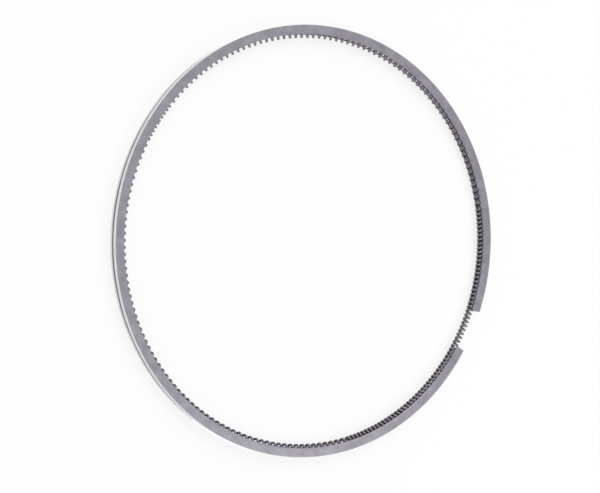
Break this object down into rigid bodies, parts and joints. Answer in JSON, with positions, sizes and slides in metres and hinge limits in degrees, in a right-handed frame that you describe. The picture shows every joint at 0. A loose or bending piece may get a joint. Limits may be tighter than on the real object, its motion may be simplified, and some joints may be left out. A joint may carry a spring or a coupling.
{
  "type": "piston ring",
  "caption": "Split oil control piston ring with scraping lands, drain slots and a coil expander spring seated in its inner groove.",
  "frame": {"origin": "on the ring's axis, at the lower flank that the ring lies on", "axes": "+Z along the ring's axis, up from the lower flank; +X from the axis to the middle of the ring gap"},
  "size_m": [0.0905, 0.0908, 0.0025],
  "materials": {
    "ring_iron": "fine-ground grey flanks with bright polished lands",
    "spring_steel": "dark drawn spring wire with bright highlights",
    "latch_steel": "dark drawn wire"
  },
  "bodies": {
    "root": {"ring_body": "ring_iron", "expander_spring": "spring_steel", "latch_wire": "latch_steel"}
  },
  "joints": []
}
